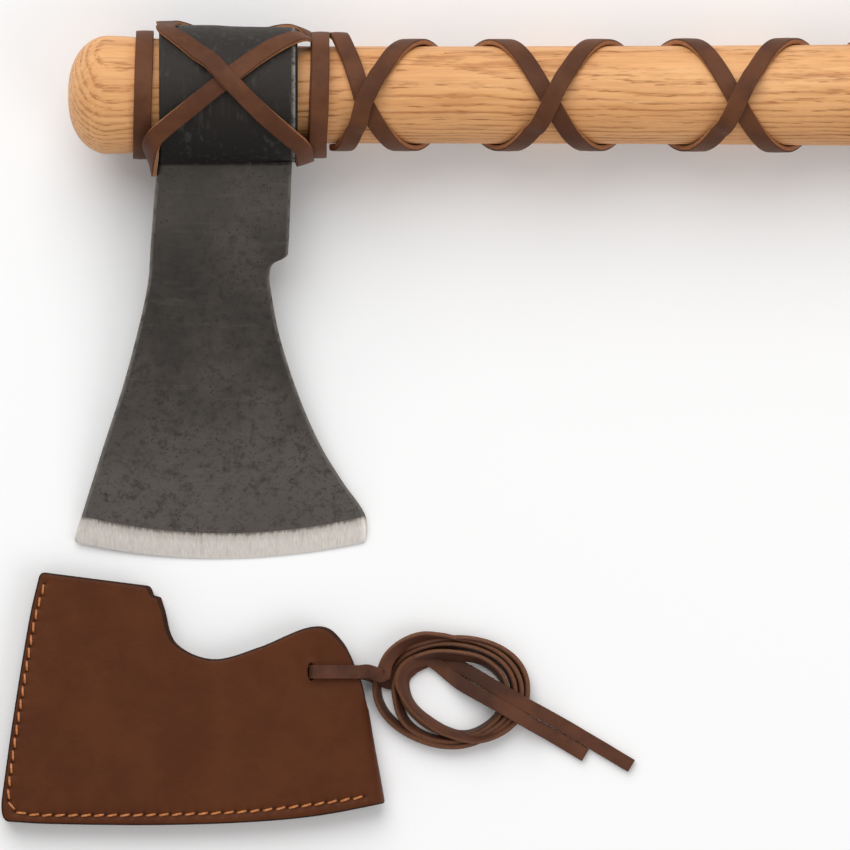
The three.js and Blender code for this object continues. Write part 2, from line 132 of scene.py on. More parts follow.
def ring_faces(rows, around, closed_ends=True):
    """Faces over rows of equal rings, closed at each end by a strip of quads."""
    faces = []
    for row in range(rows - 1):
        for k in range(around):
            a, b = row * around + k, row * around + (k + 1) % around
            faces.append((a, b, b + around, a + around))
    if closed_ends:
        last = (rows - 1) * around
        for k in range(around // 2 - 1):
            m = around - 1 - k
            faces.append((k, m, m - 1, k + 1))
            faces.append((last + k, last + k + 1, last + m - 1, last + m))
    return faces


def spline(points, count):
    """Points evenly spaced along a smooth curve through the given points."""
    points = np.asarray(points, float)
    padded = np.vstack([2 * points[0] - points[1], points, 2 * points[-1] - points[-2]])
    dense = []
    for i in range(len(points) - 1):
        p0, p1, p2, p3 = padded[i:i + 4]
        for t in np.linspace(0, 1, 40, endpoint=False):
            dense.append(0.5 * (2 * p1 + (p2 - p0) * t + (2 * p0 - 5 * p1 + 4 * p2 - p3) * t ** 2
                                + (3 * p1 - p0 - 3 * p2 + p3) * t ** 3))
    dense.append(points[-1])
    return evenly(np.array(dense), count)


def arc(start, control, stop, count=8):
    start, control, stop = (np.array(p, float) for p in (start, control, stop))
    return [(1 - t) ** 2 * start + 2 * t * (1 - t) * control + t * t * stop
            for t in np.linspace(0, 1, count)]


def evenly(line, count):
    """The same line again as count evenly spaced points."""
    lengths = np.r_[0, np.cumsum(np.linalg.norm(np.diff(line, axis=0), axis=1))]
    stops = np.linspace(0, lengths[-1], count)
    return np.column_stack([np.interp(stops, lengths, line[:, k]) for k in range(line.shape[1])])


def unit(vectors):
    return vectors / np.linalg.norm(vectors, axis=1)[:, None]


def left_of(ways):
    return np.column_stack([-ways[:, 1], ways[:, 0]])


def length_of(line):
    return float(np.linalg.norm(np.diff(np.asarray(line), axis=0), axis=1).sum())


def smoothstep(value, low, high):
    t = np.clip((np.asarray(value, float) - low) / (high - low), 0, 1)
    return t * t * (3 - 2 * t)


# ---- straps ----

LACE_WIDTH = 6.2
LACE_THICKNESS = 2.2
TIE_WIDTH = 4.8
TIE_THICKNESS = 1.8


def strap_section(width, thickness):
    """Outline of a cut lace: slightly crowned grain side, raw sides, rounded corners."""
    half, corner = width / 2, 0.2 * thickness
    outline, rim = [], []
    for x in np.linspace(-half + corner, half - corner, 9):
        crown = 0.07 * thickness * (1 - (x / half) ** 2)
        outline.append((x, thickness + crown - 0.07 * thickness))
        rim.append(0)
    side = [(half - 0.25 * corner, thickness * 0.95), (half, thickness * 0.8),
            (half + 0.03, thickness * 0.5), (half, thickness * 0.2), (half - 0.25 * corner, 0.05)]
    outline += side
    rim += [0.3, 0.6, 1, 1, 1]
    for x in np.linspace(half - corner, -half + corner, 9):
        outline.append((x, 0))
        rim.append(0.5)
    outline += [(-x, z) for x, z in reversed(side)]
    rim += [1, 1, 1, 0.6, 0.3]
    return outline, rim


def strap(name, path, outs, width, thickness, material, wobble, squeeze=None):
    """Flat strap whose inner face follows path, with outs as the grain side's normals; squeeze
    is how much of its thickness is left at each point."""
    path, outs = np.asarray(path, float), np.asarray(outs, float)
    tangents = unit(np.gradient(path, axis=0))
    sides = unit(np.cross(tangents, outs))
    normals = np.cross(sides, tangents)
    outline, rim = strap_section(width, thickness)
    squeeze = np.ones(len(path)) if squeeze is None else squeeze
    vertices, rims = [], []
    for p, s, n, left in zip(path, sides, normals, squeeze):
        for (x, z), r in zip(outline, rim):
            v = p + s * x + n * z * left
            grain = noise.noise_vector(Vector(v) * 0.09 + Vector((SEED, 0, 0)))
            vertices.append(v + np.array(grain) * wobble)
            rims.append(r)
    obj = mesh_object(name, vertices, ring_faces(len(path), len(outline)), [material])
    ends = np.zeros(len(rims))
    ends[:len(outline)] = 0.9
    ends[-len(outline):] = 0.9
    float_attribute(obj, "rim", np.maximum(rims, ends))
    return obj


# ---- materials ----


class Graph:
    """A material and the nodes that feed its one Principled shader."""

    def __init__(self, name, on_axe=False, **constants):
        self.material = bpy.data.materials.new(name)
        self.material.use_nodes = True
        self.tree = self.material.node_tree
        self.tree.nodes.clear()
        self.shader = self.add("ShaderNodeBsdfPrincipled", **constants)
        self.add("ShaderNodeOutputMaterial", Surface=self.shader.outputs["BSDF"])
        self.object = self.add("ShaderNodeTexCoord").outputs["Object"]
        if on_axe:
            turned_back = self.add("ShaderNodeMapping", {"vector_type": "TEXTURE"},
                                   Vector=self.object, Location=EYE, Rotation=(ROLL, PITCH, 0))
            self.object = turned_back.outputs["Vector"]

    def add(self, kind, settings=None, *inputs, **sockets):
        """A new node, with its first inputs by place and others by name, _ standing for a space."""
        node = self.tree.nodes.new(kind)
        for key, value in (settings or {}).items():
            setattr(node, key, value)
        named = {key.replace("_", " "): value for key, value in sockets.items()}
        for key, value in [*enumerate(inputs), *named.items()]:
            self.feed(node.inputs[key], value)
        return node

    def feed(self, socket, value):
        if isinstance(value, bpy.types.NodeSocket):
            self.tree.links.new(value, socket)
        else:
            socket.default_value = value

    def noise(self, scale, stretch=None, turn=0.0, detail=3.0, roughness=0.5, out="Fac"):
        """Noise over the object, whose place is first stretched and then turned about z."""
        place = self.object
        if stretch:
            place = self.add("ShaderNodeMapping", Vector=place, Scale=stretch,
                             Rotation=(0, 0, turn)).outputs["Vector"]
        return self.add("ShaderNodeTexNoise", Vector=place, Scale=scale, Detail=detail,
                        Roughness=roughness).outputs[out]

    def cells(self, scale):
        return self.add("ShaderNodeTexVoronoi", Vector=self.object, Scale=scale).outputs["Distance"]

    def attribute(self, name):
        return self.add("ShaderNodeAttribute", {"attribute_name": name}).outputs["Fac"]

    def math(self, operation, a, b=0.0):
        return self.add("ShaderNodeMath", {"operation": operation}, a, b).outputs[0]

    def times(self, a, b):
        return self.math("MULTIPLY", a, b)

    def plus(self, a, b):
        return self.math("ADD", a, b)

    def vector(self, operation, *values, out="Vector", **sockets):
        return self.add("ShaderNodeVectorMath", {"operation": operation}, *values,
                        **sockets).outputs[out]

    def step(self, value, low, high, to_low=0.0, to_high=1.0):
        return self.add("ShaderNodeMapRange", {"interpolation_type": "SMOOTHSTEP"}, Value=value,
                        From_Min=low, From_Max=high, To_Min=to_low, To_Max=to_high).outputs["Result"]

    def mix(self, factor, a, b):
        a, b = (c if isinstance(c, bpy.types.NodeSocket) else (*c, 1) for c in (a, b))
        return self.add("ShaderNodeMix", {"data_type": "RGBA"}, Factor=factor, A=a,
                        B=b).outputs["Result"]

    def bump(self, height, distance, strength, below=None):
        under = {} if below is None else {"Normal": below}
        return self.add("ShaderNodeBump", Height=height, Distance=distance, Strength=strength,
                        **under).outputs["Normal"]

    def finish(self, color, roughness, normal):
        self.feed(self.shader.inputs["Base Color"], color)
        self.feed(self.shader.inputs["Roughness"], roughness)
        self.feed(self.shader.inputs["Normal"], normal)
        return self.material


def srgb(red, green, blue):
    """A linear colour from 0 to 255 screen values."""
    return tuple(((c / 255 + 0.055) / 1.055) ** 2.4 if c > 10 else c / 3295
                 for c in (red, green, blue))


def leather(name, face, raw, dark, rim_gain=1.0, roughness=0.55):
    """Smooth dyed leather with creases and pores; the rim attribute shows its raw cut sides, and on
    the sheath also painted shade in the stitch holes.
    """
    g = Graph(name, Specular_IOR_Level=0.16)
    cloud = g.noise(55, detail=4, roughness=0.6)
    fine = g.noise(900, detail=3, roughness=0.6)
    pores = g.cells(1500)
    tone = g.mix(g.step(cloud, 0.35, 0.68), dark, face)
    tone = g.mix(g.times(g.step(fine, 0.52, 0.75), 0.18), tone, dark)
    fuzz = g.noise(1400, detail=4, roughness=0.7)
    edge_tone = g.mix(g.step(fuzz, 0.35, 0.7), raw, tuple(0.62 * c for c in raw))
    rim = g.plus(g.attribute("rim"), g.times(g.math("SUBTRACT", fine, 0.5), 0.5))
    rim = g.times(g.step(rim, 0.62, 0.92), rim_gain)
    tone = g.mix(rim, tone, edge_tone)
    rough = g.plus(g.times(fine, 0.16), roughness - 0.08)
    normal = g.bump(pores, 0.00008, 0.5)
    normal = g.bump(fine, 0.00012, 0.6, normal)
    normal = g.bump(cloud, 0.0004, 0.4, normal)
    return g.finish(tone, rough, normal)


def ash_wood():
    """Ash: growth rings as long broken lines of pores, with pale late wood between them."""
    g = Graph("ash_wood", on_axe=True, Specular_IOR_Level=0.28)
    drift = g.noise(16, (0.5, 1, 1), detail=2, out="Color")
    ripple = g.noise(110, (0.35, 1, 1), detail=3, roughness=0.6, out="Color")
    fray = g.noise(900, (0.08, 1, 1), detail=2, out="Color")
    at = g.object
    for waves, reach in ((drift, 0.0085), (ripple, 0.0028), (fray, 0.0007)):
        centred = g.vector("SUBTRACT", waves, (0.5, 0.5, 0.5))
        at = g.vector("ADD", at, g.vector("SCALE", centred, Scale=reach))
    pith = (0.0, -0.046, -0.038)
    across = g.vector("MULTIPLY", g.vector("SUBTRACT", at, pith), (0.03, 1, 1))
    depth = g.vector("LENGTH", across, out="Value")
    rings = g.math("FRACT", g.math("DIVIDE", depth, 0.00205))
    early = g.times(g.step(rings, 0.0, 0.12), g.step(rings, 0.55, 0.16))
    dashes = g.noise(520, (0.06, 1, 1), detail=4, roughness=0.7)
    broad = g.noise(30, (0.12, 1, 1), detail=3)
    line = g.times(early, g.step(dashes, 0.34, 0.60))
    line = g.times(line, g.step(broad, 0.28, 0.62, 0.45, 1.0))
    pores = g.noise(1700, (0.09, 1, 1), detail=2)
    pore = g.times(g.step(pores, 0.55, 0.68), g.step(rings, 0.8, 0.1))
    tone = g.mix(g.step(broad, 0.3, 0.7), srgb(234, 177, 120), srgb(214, 153, 96))
    tone = g.mix(g.times(g.step(dashes, 0.42, 0.7), 0.45), tone, srgb(190, 130, 79))
    tone = g.mix(g.times(line, 0.8), tone, srgb(168, 104, 54))
    tone = g.mix(g.times(pore, 0.55), tone, srgb(126, 76, 40))
    fibre = g.noise(1500, (0.02, 1, 1), detail=2)
    tone = g.mix(g.times(g.step(fibre, 0.5, 0.8), 0.35), tone, srgb(236, 190, 142))
    rough = g.plus(0.5, g.times(pore, 0.25))
    normal = g.bump(g.times(g.plus(pore, line), -1.0), 0.00014, 0.7)
    normal = g.bump(fibre, 0.00005, 0.5, normal)
    return g.finish(tone, rough, normal)


def forge_scale():
    """Dark forged steel: pitted scale, faint rolling streaks and worn edges, with painted light on
    the blade's top, a very dark eye with painted shade towards its lower side, a painted highlight on
    the eye's right rim and painted shade on its end face by the handle.
    """
    g = Graph("forge_scale", on_axe=True, Metallic=0.3, Specular_IOR_Level=0.32)
    patches = g.noise(34, detail=5, roughness=0.6)
    mottle = g.noise(310, detail=6, roughness=0.75)
    specks = g.noise(1150, detail=3, roughness=0.6)
    streaks = g.noise(300, (0.1, 1, 1), detail=4, roughness=0.65)
    cords = g.noise(420, (1, 0.12, 1), detail=3)
    height = g.add("ShaderNodeSeparateXYZ", {}, g.object).outputs["Y"]
    tone = g.mix(g.step(patches, 0.34, 0.68), srgb(56, 51, 47), srgb(78, 72, 67))
    tone = g.mix(g.times(g.step(height, -0.095, -0.142), 0.7), tone, srgb(98, 92, 87))
    tone = g.mix(g.times(g.step(mottle, 0.47, 0.66), 0.6), tone, srgb(44, 40, 37))
    # Painted light: the top of the blade just under the eye is lightened as if it faced the light.
    tone = g.mix(g.times(g.step(height, -0.062, -0.034), 0.3), tone, srgb(104, 98, 92))
    pitted = g.times(g.step(specks, 0.60, 0.69), g.step(patches, 0.36, 0.56, 0.25, 1.0))
    tone = g.mix(g.times(pitted, 0.8), tone, srgb(28, 26, 25))
    tone = g.mix(g.times(g.step(streaks, 0.55, 0.74), 0.14), tone, srgb(124, 117, 108))
    # Painted shade: the eye's very dark steel is made darker still towards its lower side, as if it
    # turned away from the light.
    eye_tone_and_shade = g.mix(g.step(height, -0.022, 0.018), srgb(24, 20, 17), srgb(46, 41, 37))
    eye_tone_and_shade = g.mix(g.times(g.step(cords, 0.52, 0.75), 0.4), eye_tone_and_shade, srgb(84, 80, 76))
    tone = g.mix(g.step(height, -0.0245, -0.0228), tone, eye_tone_and_shade)
    # The worn attribute holds the blade's real worn edges and a painted highlight round the eye's
    # right rim.
    wear_and_rim_highlight = g.times(g.attribute("worn"), g.step(mottle, 0.34, 0.58))
    tone = g.mix(wear_and_rim_highlight, tone, srgb(158, 151, 142))
    # Painted shade: the gap attribute darkens the eye's right end face where it meets the handle.
    tone = g.mix(g.attribute("gap"), tone, srgb(14, 12, 11))
    rough = g.plus(0.5, g.times(mottle, 0.25))
    normal = g.bump(g.times(pitted, -1.0), 0.00012, 0.7)
    normal = g.bump(mottle, 0.0003, 0.75, normal)
    normal = g.bump(patches, 0.0010, 0.4, normal)
    return g.finish(tone, rough, normal)


def ground_steel():
    """The ground bevel: bright steel with fine scratches square to the edge."""
    g = Graph("ground_steel", on_axe=True, Metallic=0.6, Specular_IOR_Level=0.5)
    slant = math.radians(-24)
    scratch = g.noise(2600, (1, 0.05, 1), detail=3, roughness=0.7)
    coarse = g.noise(620, (1, 0.09, 1), slant, detail=2)
    filed = g.noise(1100, (1, 0.14, 1), slant, detail=3, roughness=0.6)
    haze = g.noise(60, detail=3)
    tone = g.mix(g.step(scratch, 0.3, 0.75), srgb(226, 217, 209), srgb(246, 240, 233))
    tone = g.mix(g.times(g.step(coarse, 0.54, 0.78), 0.3), tone, srgb(186, 175, 165))
    tone = g.mix(g.times(g.step(haze, 0.5, 0.8), 0.2), tone, srgb(214, 200, 184))
    reach = g.plus(g.attribute("ground"), g.times(filed, -3.0))
    tone = g.mix(g.step(reach, 0.0, -1.6), tone, srgb(84, 78, 73))
    tone = g.mix(g.step(reach, 2.6, -0.8, 0.0, 0.4), tone, srgb(160, 150, 141))
    rough = g.plus(0.34, g.times(scratch, 0.2))
    normal = g.bump(scratch, 0.00005, 0.5)
    normal = g.bump(coarse, 0.00008, 0.4, normal)
    return g.finish(tone, rough, normal)


def waxed_thread():
    g = Graph("waxed_thread", Specular_IOR_Level=0.45)
    strands = g.noise(2400, detail=2)
    tone = g.mix(g.step(strands, 0.35, 0.7), srgb(168, 96, 48), srgb(214, 142, 84))
    return g.finish(tone, 0.55, g.bump(strands, 0.0001, 0.6))


ASH = ash_wood()
SCALE = forge_scale()
STEEL = ground_steel()
LACE = leather("lace_leather", srgb(101, 61, 38), srgb(172, 118, 81), srgb(81, 47, 29))
TIE = leather("tie_leather", srgb(97, 59, 41), srgb(116, 77, 54), srgb(69, 41, 29))
SHEATH = leather("sheath_leather", srgb(88, 45, 17), srgb(44, 24, 14), srgb(80, 38, 13),
                 rim_gain=0.9, roughness=0.5)
WELT = leather("welt_leather", srgb(80, 46, 28), srgb(104, 66, 42), srgb(62, 36, 24))
THREAD = waxed_thread()

# ---- the sheath's tie lace: two free halves, wound together ----

SHEATH_THICKNESS = 9.8
SHEATH_LAYER = 2.3
TIE_Y = -202.1
SLIT_X = 29.4
COIL = np.array((78.75, -208.4))
COIL_REACH = np.array((26.9, 20.1))


def coil_turns(rows):
    """Points of the turns of one half, from rows of (degrees turned clockwise from the coil's
    left, share of its reach, height, tilt in degrees)."""
    rows = [(turned / 60, share, height, math.radians(tilt)) for turned, share, height, tilt in rows]
    steps = int((rows[-1][0] - rows[0][0]) * 60 / 8)
    points = []
    for turned, share, height, tilt in spline(rows, steps):
        angle = math.pi - math.radians(turned * 60)
        at = COIL + COIL_REACH * share * (math.cos(angle), math.sin(angle))
        points.append((at[0], at[1], height, tilt))
    return points


def tie_half(name, route, nodes):
    """One half of the lace along a route of middle points, each with how far it is tilted."""
    line = spline([(*p, 0) if len(p) == 3 else p for p in route], 330)
    middle, tilt = line[:, :3], line[:, 3]
    tangents = np.gradient(middle, axis=0)
    level = unit(np.cross(tangents, (0, 0, 1.0)))
    upright = unit(np.cross(level, tangents))
    outs = upright * np.cos(tilt)[:, None] + level * np.sin(tilt)[:, None]
    path = middle - outs * TIE_THICKNESS / 2
    obj = strap(name, path, outs, TIE_WIDTH, TIE_THICKNESS, TIE, wobble=0.1)
    piece(obj, LAID, "sheath", "tie_leather", *nodes)


def make_tie():
    top = SHEATH_THICKNESS + 0.3 + TIE_THICKNESS / 2
    front_lead = [(SLIT_X, TIE_Y, top - 4.2), (SLIT_X, TIE_Y, top - 1.1),
                  (SLIT_X + 0.5, TIE_Y, top - 0.3), (SLIT_X + 1.6, TIE_Y, top + 0.1),
                  (SLIT_X + 5, TIE_Y, top + 0.1), (40, TIE_Y, top), (46.2, TIE_Y, top),
                  (49.4, TIE_Y + 0.2, top - 1.6)]
    front_turns = coil_turns([
        (15, 0.93, 6.2, 20), (40, 1.0, 5.8, 38), (64, 1.01, 5.2, 58), (82, 0.92, 4.0, 68),
        (104, 0.86, 2.9, 75), (180, 0.895, 2.7, 78), (232, 0.92, 2.7, 78), (266, 0.975, 2.7, 75),
        (310, 0.94, 2.6, 68), (364, 0.98, 2.6, 68), (393, 0.94, 2.3, 58), (427, 0.84, 2.5, 62),
        (461, 0.89, 3.2, 72), (507, 0.975, 2.8, 78), (546, 0.975, 2.7, 78), (572, 0.985, 2.8, 75),
        (605, 0.93, 4.4, 62), (628, 0.78, 5.0, 60), (655, 0.64, 4.9, 60), (681, 0.595, 4.8, 62),
        (708, 0.61, 4.8, 62), (733, 0.69, 4.8, 54), (757, 0.71, 4.4, 38), (781, 0.62, 3.0, 15),
    ])
    front_tail = [(74.6, -200.3, 1.9), (78.6, -203.7, 2.1), (83, -207.0, 4.2), (91, -211.4, 7.8),
                  (98.5, -215.6, 7.9), (105, -219.4, 7.2), (113, -224.0, 2.4),
                  (119, -227.5, 1.3), (125.6, -231.4, 1.2)]
    tie_half("tie_lace_half_front", [*front_lead, *front_turns, *front_tail],
             ["tie_lace_front", "tie_lace_coil", "tie_lace_tail_short"])
    back_lead = [(SLIT_X - 0.6, TIE_Y, SHEATH_LAYER + 1.5), (36, TIE_Y, SHEATH_LAYER + 1.4),
                 (44, TIE_Y, SHEATH_LAYER + 1.4), (48.4, TIE_Y - 0.6, 2.6),
                 (52, TIE_Y - 1.8, 1.6)]
    back_turns = coil_turns([
        (8, 0.80, 1.5, 10), (30, 0.79, 1.8, 32), (60, 0.78, 2.4, 58), (106, 0.75, 2.6, 72),
        (147, 0.79, 2.6, 76), (182, 0.81, 2.6, 78), (213, 0.835, 2.6, 78), (239, 0.85, 2.6, 76),
        (266, 0.885, 2.6, 74), (292, 0.88, 2.5, 70), (314, 0.83, 2.4, 66), (344, 0.73, 2.3, 60),
        (370, 0.72, 2.3, 58), (395, 0.72, 2.7, 58), (425, 0.66, 4.4, 58), (457, 0.60, 5.4, 58),
        (492, 0.645, 4.2, 68), (528, 0.69, 2.8, 76), (562, 0.72, 2.6, 78), (589, 0.765, 2.6, 76),
        (618, 0.80, 2.6, 72), (645, 0.70, 2.3, 56), (681, 0.615, 2.1, 48), (714, 0.62, 2.0, 46),
        (739, 0.66, 1.8, 36), (762, 0.63, 1.4, 15),
    ])
    back_tail = [(72.6, -197.4, 1.3), (78.4, -198.6, 1.6), (83.2, -201.3, 2.2), (89, -204.6, 4.6),
                 (94.6, -207.9, 7.8), (102, -212.2, 7.9), (108.6, -215.8, 7.2),
                 (116.6, -220.3, 2.4), (126, -225.8, 1.3), (141.8, -235.2, 1.2)]
    tie_half("tie_lace_half_back", [*back_lead, *back_turns, *back_tail],
             ["tie_lace_back", "tie_lace_tail_long"])


make_tie()

# ---- handle ----

HANDLE_LENGTH = 650
KNOB_TIP = -55.6
KNOB_RADIUS = 20.75
KNOB_BASE_RADIUS = 20
NECK_RADIUS = 17
GRIP_RADIUS = 18.1
GRIP_END_FLAT_RADIUS = 13
DOME_LENGTH = 13.5
EYE_LEFT = -23.8
EYE_RIGHT = 23.6


def handle_radius(x):
    return NECK_RADIUS + (GRIP_RADIUS - NECK_RADIUS) * float(smoothstep(x, 90, 330))


def handle_profile():
    """(x, radius) pairs from the knob's tip to the middle of the grip's end face."""
    profile = []
    for angle in np.linspace(0, math.pi / 2, 26):
        reach = DOME_LENGTH * (1 - math.cos(angle) ** 1.1)
        profile.append((KNOB_TIP + reach, KNOB_RADIUS * math.sin(angle) ** 0.82))
    body_x = [KNOB_TIP + DOME_LENGTH, -36, KNOB_RING_X, EYE_LEFT, 0, EYE_RIGHT, NECK_RING_X]
    body_r = [KNOB_RADIUS, 20.6, KNOB_BASE_RADIUS, 19.7, 18.4, NECK_RADIUS + 0.1, NECK_RADIUS]
    grip_end = KNOB_TIP + HANDLE_LENGTH
    end_round = GRIP_RADIUS - GRIP_END_FLAT_RADIUS
    for x in np.linspace(KNOB_TIP + DOME_LENGTH, NECK_RING_X, 44)[1:]:
        profile.append((x, np.interp(x, body_x, body_r)))
    for x in np.linspace(NECK_RING_X, grip_end - end_round, 240)[1:-1]:
        profile.append((x, handle_radius(x)))
    for angle in np.linspace(0, math.pi / 2, 10):
        profile.append((grip_end - end_round * (1 - math.sin(angle)),
                        GRIP_END_FLAT_RADIUS + end_round * math.cos(angle)))
    profile += [(grip_end, GRIP_END_FLAT_RADIUS * share) for share in (0.66, 0.33, 0)]
    return profile


def turned(profile, around):
    """Vertices and faces of a turned solid whose profile starts and ends on the axis."""
    vertices = [(profile[0][0], 0, 0)]
    for x, radius in profile[1:-1]:
        for k in range(around):
            turn = 2 * math.pi * k / around
            vertices.append((x, radius * math.sin(turn), radius * math.cos(turn)))
    vertices.append((profile[-1][0], 0, 0))
    rows = len(profile) - 2
    faces = [tuple(1 + i for i in face) for face in ring_faces(rows, around, False)]
    last = 1 + (rows - 1) * around
    for k in range(around):
        after = (k + 1) % around
        faces.append((0, 1 + after, 1 + k))
        faces.append((len(vertices) - 1, last + k, last + after))
    return vertices, faces


def make_handle():
    vertices, faces = turned(handle_profile(), 112)
    shaped = []
    for v in vertices:
        v = Vector(v)
        swell = noise.noise(Vector((v.x * 0.012, v.y * 0.03, v.z * 0.03 + SEED)))
        facet = noise.noise(Vector((v.x * 0.03 + SEED, v.y * 0.12, v.z * 0.12)))
        share = 1 + (0.14 * swell + 0.07 * facet) / GRIP_RADIUS
        shaped.append((v.x, v.y * share, v.z * share))
    piece(mesh_object("ash_handle", shaped, faces, [ASH]), AXE, "axe", "ash", "handle")


make_handle()

# ---- head ----

EYE_OUTER_LEFT = 24.8
EYE_OUTER_RIGHT = 23.6
EYE_BORE_LEFT = 20.45
EYE_BORE_RIGHT = 19.0
BLADE_TOP = -22
BEVEL_TOP = -149.3
EDGE = -159.1
BEVEL_BOW = 6.1
EDGE_BOW = 5.6
EDGE_HALF_THICKNESS = 0.25
CORNER_RADIUS = 1.9
FILLET = 2.6
FILLET_FADE = 2.4
BORE_REACH = 21
DENT_DEPTH = 0.30
PIT_DEPTH = 0.07
FRONT_SIDE = [
    (-23.8, BLADE_TOP), (-25.4, -36), (-26.7, -53), (-28.2, -70), (-35, -98.5),
    (-43.4, -125.3), (-50.8, BEVEL_TOP), (-53.9, EDGE),
]
NOTCHED_SIDE = [
    (22.8, BLADE_TOP), (21.6, -53.5), (20.5, -57.2), (16.4, -59.4), (15, -63), (15.4, -69),
    (18.6, -86), (25, -106.2), (32.6, -123.9), (40.4, -137), (48.6, BEVEL_TOP), (48.8, EDGE),
]
HALF_THICKNESS = [
    (7, BLADE_TOP), (5.2, -28), (4.2, -40), (3.5, -60), (2.4, -98), (1.7, BEVEL_TOP),
]


def side_at(stops, y):
    """x at height y on the smooth curve through (x, y) stops that fall in y."""
    line = spline(stops, 600)
    return np.interp(-np.asarray(y, float), -line[:, 1], line[:, 0])


def eye_mesh():
    """Closed socket ring with rounded rims."""
    rim = 1.1
    end = EYE_RIGHT + 1.0
    corners = [
        (EYE_LEFT, EYE_BORE_LEFT), (EYE_LEFT, EYE_OUTER_LEFT),
        (end, EYE_OUTER_RIGHT), (end, EYE_BORE_RIGHT),
    ]
    ways = [(0, 1), (1, 0), (0, -1), (-1, 0)]
    profile = []
    for k, (x, radius) in enumerate(corners):
        before, after = ways[k - 1], ways[k]
        start = np.array((x - before[0] * rim, radius - before[1] * rim))
        stop = np.array((x + after[0] * rim, radius + after[1] * rim))
        profile += arc(start, (x, radius), stop, 6)
        if k in (1, 3):
            x_end = corners[(k + 1) % 4][0] - after[0] * rim
            r_end = corners[(k + 1) % 4][1]
            for t in np.linspace(0, 1, 36)[1:-1]:
                profile.append(stop + (np.array((x_end, r_end)) - stop) * t)
    around = 190
    vertices = []
    for turn in np.linspace(0, 2 * math.pi, around, endpoint=False):
        vertices += [(x, r * math.sin(turn), r * math.cos(turn)) for x, r in profile]
    skin = ring_faces(around + 1, len(profile), False)
    return vertices, [tuple(i % len(vertices) for i in face) for face in skin]


def blade_heights():
    upper = np.arange(BLADE_TOP, -66, -0.9)
    lower = np.arange(-66, BEVEL_TOP + 0.5, -1.1)
    bevel = BEVEL_TOP + (EDGE - BEVEL_TOP) * np.sin(np.linspace(0, math.pi / 2, 18))
    return [*upper, *lower], bevel


def blade_mesh():
    """Lofted blade: rows of rings across it, rounded at both sides, then the ground bevel."""
    upper, bevel = blade_heights()
    heights = np.array([*upper, *bevel])
    to_corner = np.clip((EDGE + CORNER_RADIUS - heights) / CORNER_RADIUS, 0, 1)
    rounded = CORNER_RADIUS * (1 - np.sqrt(1 - 0.98 * to_corner ** 2))
    left = side_at(FRONT_SIDE, heights) + rounded
    right = side_at(NOTCHED_SIDE, heights) - rounded
    half = side_at(HALF_THICKNESS, heights)
    fillet = FILLET * np.exp(-(BLADE_TOP - heights) / FILLET_FADE)
    ground = np.clip((BEVEL_TOP - heights) / (BEVEL_TOP - EDGE), 0, 1)
    half = (half + fillet) * (1 - ground) + EDGE_HALF_THICKNESS * ground
    bow = np.where(ground > 0, BEVEL_BOW + (EDGE_BOW - BEVEL_BOW) * ground,
                   BEVEL_BOW * smoothstep(-heights, 90, -BEVEL_TOP))
    vertices = []
    shares = np.linspace(0, 1, 71)
    for y, x0, x1, h, b in zip(heights, left, right, half, bow):
        inset = min(1.3, 0.8 * h)
        corner = [(x0, 0.35 * h), (x0 + 0.02, h - inset), (x0 + 0.35 * inset, h - 0.35 * inset)]
        across = [(x0 + inset + (x1 - x0 - 2 * inset) * s, h) for s in shares]
        far = [(x0 + x1 - x, z) for x, z in reversed(corner)]
        top = [(x, y - b * 4 * ((x - x0) / (x1 - x0)) * (1 - (x - x0) / (x1 - x0)), z)
               for x, z in [*corner, *across, *far]]
        vertices += top + [(x, yy, -z) for x, yy, z in reversed(top)]
    return vertices, ring_faces(len(heights), 2 * len(top))


def joined(first, second):
    """The first object united with the second, which is removed."""
    modifier = first.modifiers.new("union", "BOOLEAN")
    modifier.operation = "UNION"
    modifier.solver = "EXACT"
    modifier.object = second
    graph = bpy.context.evaluated_depsgraph_get()
    mesh = bpy.data.meshes.new_from_object(first.evaluated_get(graph))
    first.modifiers.clear()
    first.data = mesh
    bpy.data.objects.remove(second)
    return first


def across_blade(points):
    """The blade's two sides at the height of each point, and where its bevel starts there."""
    left, right = side_at(FRONT_SIDE, points[:, 1]), side_at(NOTCHED_SIDE, points[:, 1])
    share = np.clip((points[:, 0] - left) / (right - left), 0, 1)
    return left, right, BEVEL_TOP - BEVEL_BOW * 4 * share * (1 - share)


